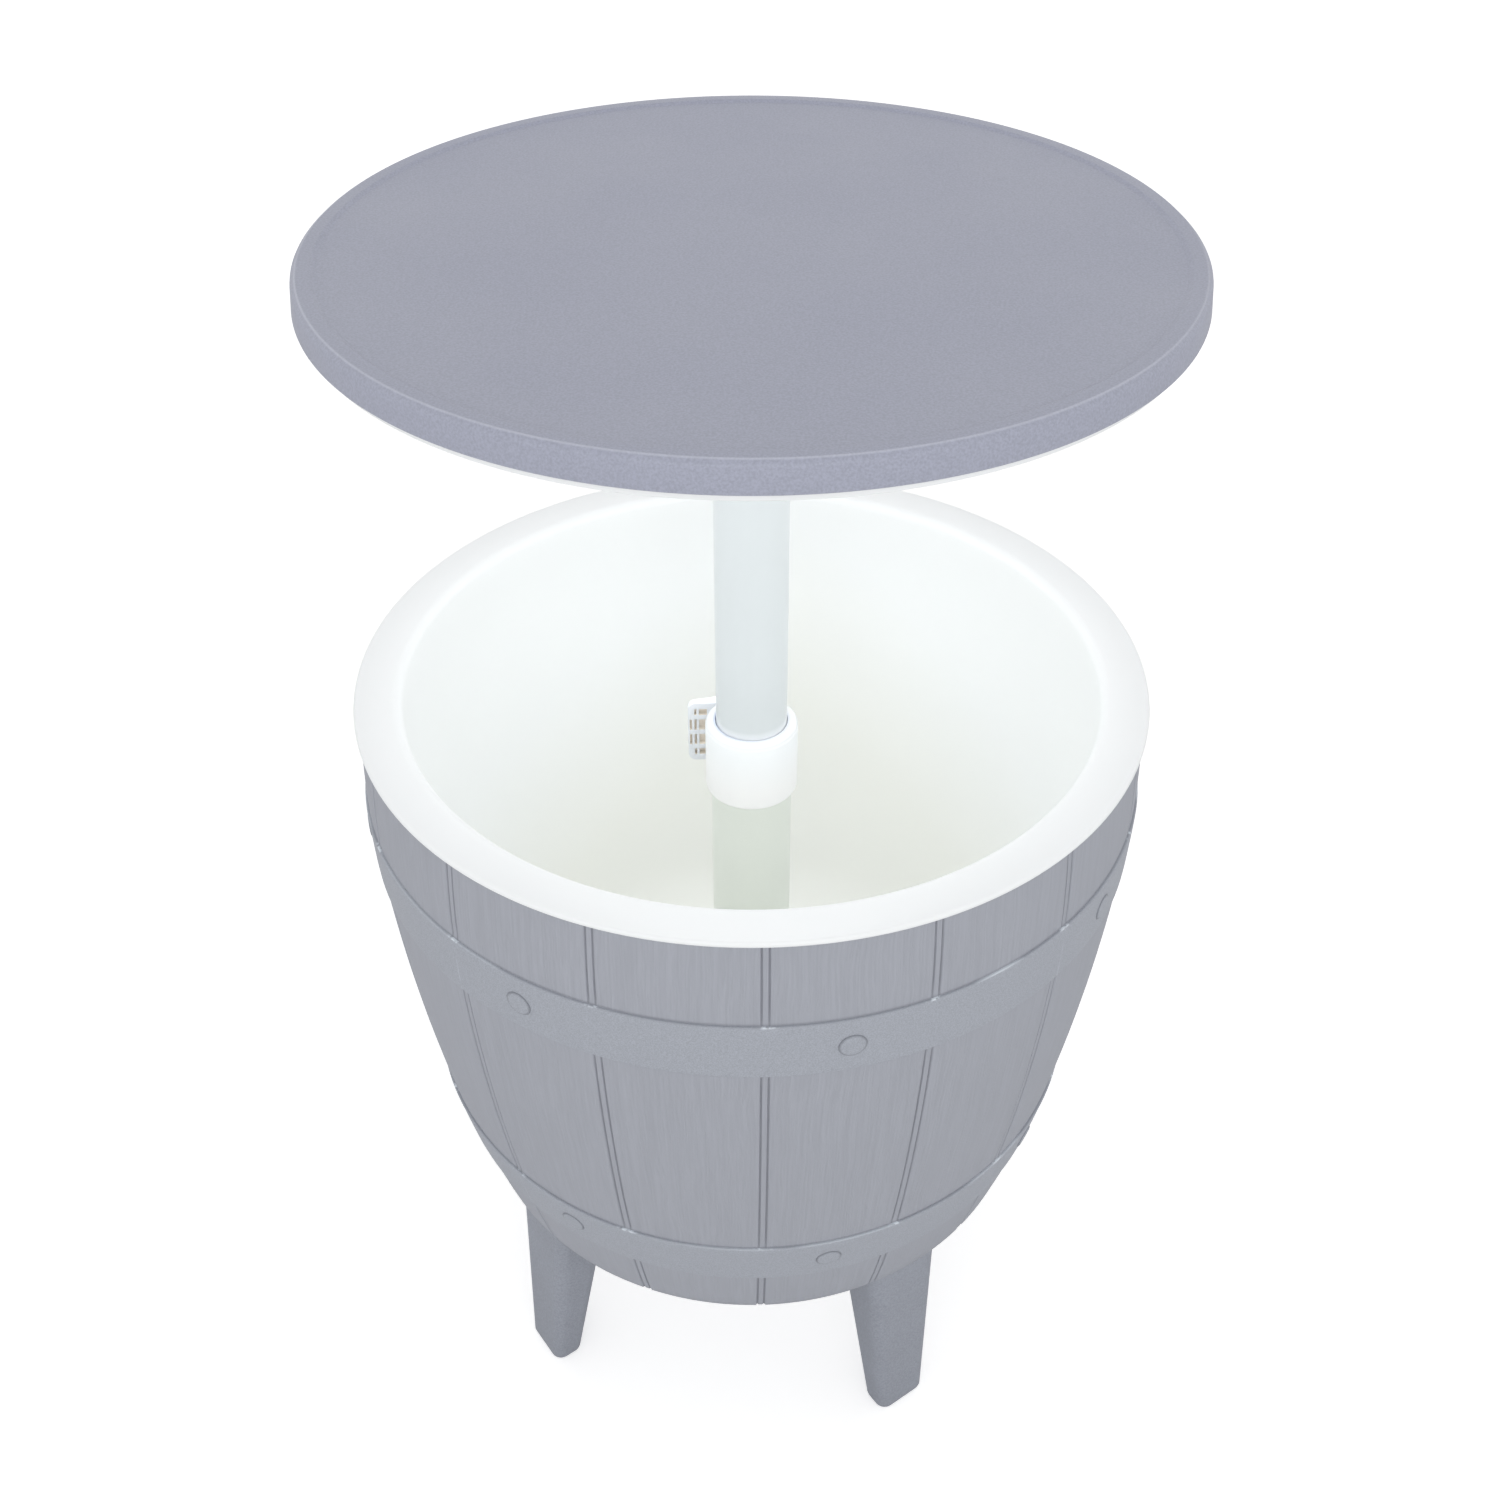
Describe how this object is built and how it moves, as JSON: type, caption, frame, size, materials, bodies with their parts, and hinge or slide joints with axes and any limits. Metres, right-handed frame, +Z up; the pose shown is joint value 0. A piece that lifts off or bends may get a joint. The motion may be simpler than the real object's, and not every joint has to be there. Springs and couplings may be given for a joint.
{
  "type": "cooler table",
  "caption": "Round side table on a telescopic mast that rises out of a stave-barrel ice bucket on legs, locked by a flip-lever clamp, with a drain in the floor.",
  "frame": {"origin": "on the floor, under the middle of the barrel and the mast", "axes": "+Z up along the mast, -Y towards the front, +X to the right of someone facing it from the front"},
  "size_m": [0.4971, 0.4972, 0.83],
  "materials": {
    "barrel_grey": "satin moulded plastic with a fine wood grain",
    "table_grey": "satin moulded plastic with a fine speckle",
    "leg_grey": "satin moulded plastic",
    "bucket_white": "glossy moulded plastic",
    "fitting_white": "satin moulded plastic",
    "liner_white": "glossy moulded plastic",
    "tube_green": "smooth powder coat",
    "steel": "zinc plated",
    "rubber": "matte"
  },
  "bodies": {
    "base": {"outer_shell": "barrel_grey", "inner_bucket": "bucket_white", "leg_front_left": "leg_grey", "leg_front_right": "leg_grey", "leg_rear_right": "leg_grey", "leg_rear_left": "leg_grey", "leg_screws": "steel", "mast_base": "fitting_white", "mast_gasket": "rubber", "base_bolts": "steel", "base_nuts": "steel", "lower_tube": "tube_green", "lower_tube_screws": "steel", "clamp_collar": "fitting_white", "clamp_bush": "fitting_white", "clamp_bolt": "steel", "clamp_nut": "steel", "lever_pin": "steel", "drain_bushing": "fitting_white", "drain_nut": "fitting_white"},
    "slide": {"mast_glide": "fitting_white"},
    "table": {"upper_tube": "tube_green", "tube_plug": "fitting_white", "mast_socket": "fitting_white", "upper_tube_screws": "steel", "socket_screws": "steel", "lid_liner": "liner_white", "lid_screws": "steel", "table_top": "table_grey"},
    "lever": {"cam_lever": "fitting_white"},
    "drain_ring": {"drain_seal": "rubber"},
    "drain_cap": {"drain_plug": "fitting_white"}
  },
  "joints": [
    {"name": "height_slide", "type": "slide", "parent": "base", "child": "slide", "axis": [0, 0, 1], "range_m": [-0.264, 0]},
    {"name": "table_turn", "type": "hinge", "parent": "slide", "child": "table", "pos_m": [0, 0, 0.4], "axis": [0, 0, 1], "continuous": true},
    {"name": "lever_swing", "type": "hinge", "parent": "base", "child": "lever", "pos_m": [-0.0173, 0.0364, 0.4755], "axis": [0, 0, -1], "range_deg": [0, 100]},
    {"name": "drain_turn", "type": "hinge", "parent": "drain_ring", "child": "drain_cap", "pos_m": [0, 0.09496, 0.15], "axis": [0, 0, -1], "range_deg": [0, 900]},
    {"name": "drain_slide", "type": "slide", "parent": "base", "child": "drain_ring", "axis": [0, 0, -1], "range_m": [0, 0.0075]}
  ],
  "couplings": [
    {"joint": "drain_slide", "follows": "drain_turn", "m_per_rad": 0.00047746}
  ]
}
